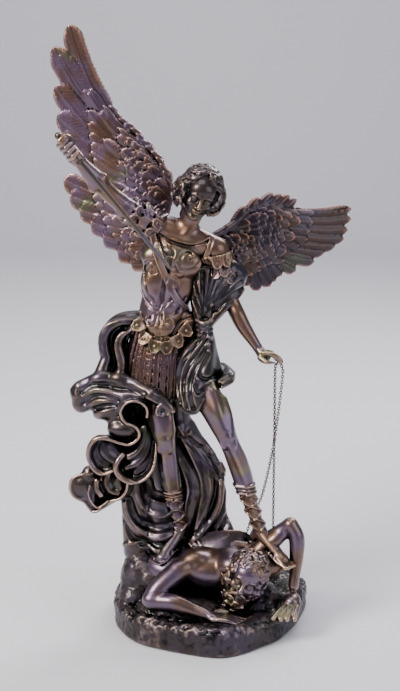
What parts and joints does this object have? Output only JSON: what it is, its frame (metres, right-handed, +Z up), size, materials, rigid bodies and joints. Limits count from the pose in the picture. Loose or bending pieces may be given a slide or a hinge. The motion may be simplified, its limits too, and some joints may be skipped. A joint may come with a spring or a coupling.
{
  "type": "archangel statue",
  "caption": "Cast statue of a winged archangel in armour with raised sword and chain, treading on a bearded demon on a low rock base.",
  "frame": {"origin": "on the table under the middle of the rock base", "axes": "+Z up, the viewer in front of the figure stands at -Y, +X is to that viewer's right"},
  "size_m": [0.3762, 0.2248, 0.7427],
  "materials": {
    "statue": "dark bronze patina, rubbed bright on the ridges",
    "sword": "dark bronze patina",
    "chain": "aged copper wire"
  },
  "bodies": {
    "root": {"statue": "statue", "sword": "sword", "chain": "chain"}
  },
  "joints": []
}
